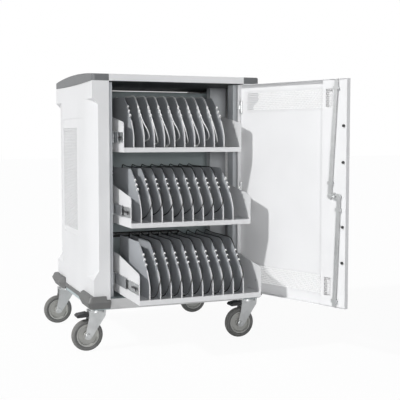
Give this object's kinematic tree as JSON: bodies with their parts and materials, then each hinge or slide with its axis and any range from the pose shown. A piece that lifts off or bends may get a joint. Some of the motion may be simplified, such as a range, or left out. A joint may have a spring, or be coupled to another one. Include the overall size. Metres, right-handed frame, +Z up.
{
  "type": "charging trolley",
  "caption": "Mobile charging cabinet on casters with lockable perforated doors, pull-out divided trays for portable computers and a rear power compartment",
  "frame": {"origin": "middle of the floor area that the trolley covers with its front door open and its trays drawn out, at floor level", "axes": "+Z up, +Y towards the rear door, +X to the right seen from the front"},
  "size_m": [0.8966, 1.1882, 1.089],
  "materials": {
    "black_plastic": "satin black plastic",
    "black_rubber": "matt rubber",
    "dark_interior": "blue-grey satin coat",
    "divider_grey": "satin grey coat",
    "grey_moulding": "fine-grained moulded plastic",
    "grey_powder_coat": "satin light grey powder coat",
    "lead_black": "smooth black cable sheath",
    "lead_white": "smooth white cable sheath",
    "wheel_grey": "grey rubber",
    "white_powder_coat": "satin white powder coat with a fine texture",
    "zinc": "bright zinc plate"
  },
  "bodies": {
    "cabinet": {"base_pan": "dark_interior", "base_fascias": "grey_powder_coat", "left_side_panel": "white_powder_coat", "right_side_panel": "white_powder_coat", "side_vent_sheets": "white_powder_coat", "ceiling_panel": "dark_interior", "top_panel": "white_powder_coat", "left_top_cap": "grey_moulding", "right_top_cap": "grey_moulding", "base_bumpers": "grey_moulding", "uprights": "zinc", "bulkhead": "dark_interior", "slot_trims": "black_rubber", "power_strips": "black_plastic", "power_inlet": "black_plastic", "slide_outers": "zinc", "jamb_hinges": "zinc", "hinge_pins": "zinc", "caster_heads": "zinc"},
    "front_door_leaf": {"front_door": "white_powder_coat", "door_vent_sheets": "white_powder_coat", "door_hinge_leaves": "zinc", "door_stiffener": "white_powder_coat", "lock_case": "zinc", "handle_plate": "grey_powder_coat", "rod_guides": "zinc", "door_buffers": "black_rubber"},
    "handle": {"door_handle": "grey_powder_coat", "lock_cam": "zinc"},
    "upper_bolt": {"upper_rod": "zinc"},
    "lower_bolt": {"lower_rod": "zinc"},
    "rear_door_leaf": {"rear_door": "white_powder_coat", "rear_door_vents": "white_powder_coat", "rear_door_leaves": "zinc", "rear_door_lock": "zinc"},
    "top_drawer": {"top_tray": "white_powder_coat", "top_dividers": "divider_grey", "top_slide_inners": "zinc", "top_leads": "lead_white"},
    "top_middle_slides": {"top_slide_middles": "zinc"},
    "middle_drawer": {"middle_tray": "white_powder_coat", "middle_dividers": "divider_grey", "middle_slide_inners": "zinc", "middle_leads": "lead_black"},
    "middle_middle_slides": {"middle_slide_middles": "zinc"},
    "bottom_drawer": {"bottom_tray": "white_powder_coat", "bottom_dividers": "divider_grey", "bottom_slide_inners": "zinc", "bottom_leads": "lead_black"},
    "bottom_middle_slides": {"bottom_slide_middles": "zinc"},
    "front_left_swivel": {"front_left_fork": "zinc"},
    "front_left_roller": {"front_left_wheel": "wheel_grey"},
    "front_left_pedal": {"front_left_brake": "black_plastic"},
    "front_right_swivel": {"front_right_fork": "zinc"},
    "front_right_roller": {"front_right_wheel": "wheel_grey"},
    "front_right_pedal": {"front_right_brake": "black_plastic"},
    "rear_left_swivel": {"rear_left_fork": "zinc"},
    "rear_left_roller": {"rear_left_wheel": "wheel_grey"},
    "rear_right_swivel": {"rear_right_fork": "zinc"},
    "rear_right_roller": {"rear_right_wheel": "wheel_grey"}
  },
  "joints": [
    {"name": "front_door_hinge", "type": "hinge", "parent": "cabinet", "child": "front_door_leaf", "pos_m": [0.24996, -0.07236, 0.628], "axis": [0, 0, 1], "range_deg": [-18, 19.5]},
    {"name": "handle_turn", "type": "hinge", "parent": "front_door_leaf", "child": "handle", "pos_m": [0.42815, -0.54147, 0.62], "axis": [0.9373, 0.3486, 0], "range_deg": [0, 90]},
    {"name": "upper_bolt_slide", "type": "slide", "parent": "front_door_leaf", "child": "upper_bolt", "axis": [0.0217, -0.0583, 0.9981], "range_m": [0, 0.021]},
    {"name": "lower_bolt_slide", "type": "slide", "parent": "front_door_leaf", "child": "lower_bolt", "axis": [-0.014, 0.0376, -0.9992], "range_m": [0, 0.021]},
    {"name": "rear_door_hinge", "type": "hinge", "parent": "cabinet", "child": "rear_door_leaf", "pos_m": [0.24996, 0.57064, 0.628], "axis": [0, 0, -1], "range_deg": [0, 130]},
    {"name": "top_tray_slide", "type": "slide", "parent": "cabinet", "child": "top_drawer", "axis": [0, 1, 0], "range_m": [-0.292, 0.098]},
    {"name": "top_middle_slide", "type": "slide", "parent": "cabinet", "child": "top_middle_slides", "axis": [0, 1, 0], "range_m": [-0.146, 0.049]},
    {"name": "middle_tray_slide", "type": "slide", "parent": "cabinet", "child": "middle_drawer", "axis": [0, 1, 0], "range_m": [-0.201, 0.189]},
    {"name": "middle_middle_slide", "type": "slide", "parent": "cabinet", "child": "middle_middle_slides", "axis": [0, 1, 0], "range_m": [-0.1005, 0.0945]},
    {"name": "bottom_tray_slide", "type": "slide", "parent": "cabinet", "child": "bottom_drawer", "axis": [0, 1, 0], "range_m": [-0.102, 0.288]},
    {"name": "bottom_middle_slide", "type": "slide", "parent": "cabinet", "child": "bottom_middle_slides", "axis": [0, 1, 0], "range_m": [-0.051, 0.144]},
    {"name": "front_left_swivel_turn", "type": "hinge", "parent": "cabinet", "child": "front_left_swivel", "pos_m": [-0.34784, -0.02286, 0.161], "axis": [0, 0, 1], "continuous": true},
    {"name": "front_left_wheel_spin", "type": "hinge", "parent": "front_left_swivel", "child": "front_left_roller", "pos_m": [-0.38584, -0.02286, 0.0625], "axis": [0, 1, 0], "continuous": true},
    {"name": "front_left_brake_press", "type": "hinge", "parent": "front_left_swivel", "child": "front_left_pedal", "pos_m": [-0.39004, -0.02286, 0.145], "axis": [0, -1, 0], "range_deg": [0, 12]},
    {"name": "front_right_swivel_turn", "type": "hinge", "parent": "cabinet", "child": "front_right_swivel", "pos_m": [0.30216, -0.02286, 0.161], "axis": [0, 0, 1], "continuous": true},
    {"name": "front_right_wheel_spin", "type": "hinge", "parent": "front_right_swivel", "child": "front_right_roller", "pos_m": [0.26416, -0.02286, 0.0625], "axis": [0, 1, 0], "continuous": true},
    {"name": "front_right_brake_press", "type": "hinge", "parent": "front_right_swivel", "child": "front_right_pedal", "pos_m": [0.25996, -0.02286, 0.145], "axis": [0, -1, 0], "range_deg": [0, 12]},
    {"name": "rear_left_swivel_turn", "type": "hinge", "parent": "cabinet", "child": "rear_left_swivel", "pos_m": [-0.34784, 0.52114, 0.161], "axis": [0, 0, 1], "continuous": true},
    {"name": "rear_left_wheel_spin", "type": "hinge", "parent": "rear_left_swivel", "child": "rear_left_roller", "pos_m": [-0.38584, 0.52114, 0.0625], "axis": [0, 1, 0], "continuous": true},
    {"name": "rear_right_swivel_turn", "type": "hinge", "parent": "cabinet", "child": "rear_right_swivel", "pos_m": [0.30216, 0.52114, 0.161], "axis": [0, 0, 1], "continuous": true},
    {"name": "rear_right_wheel_spin", "type": "hinge", "parent": "rear_right_swivel", "child": "rear_right_roller", "pos_m": [0.26416, 0.52114, 0.0625], "axis": [0, 1, 0], "continuous": true}
  ],
  "couplings": [
    {"joint": "upper_bolt_slide", "follows": "handle_turn", "m_per_rad": 0.013369},
    {"joint": "lower_bolt_slide", "follows": "handle_turn", "m_per_rad": 0.013369},
    {"joint": "top_middle_slide", "follows": "top_tray_slide", "ratio": 0.5},
    {"joint": "middle_middle_slide", "follows": "middle_tray_slide", "ratio": 0.5},
    {"joint": "bottom_middle_slide", "follows": "bottom_tray_slide", "ratio": 0.5}
  ]
}
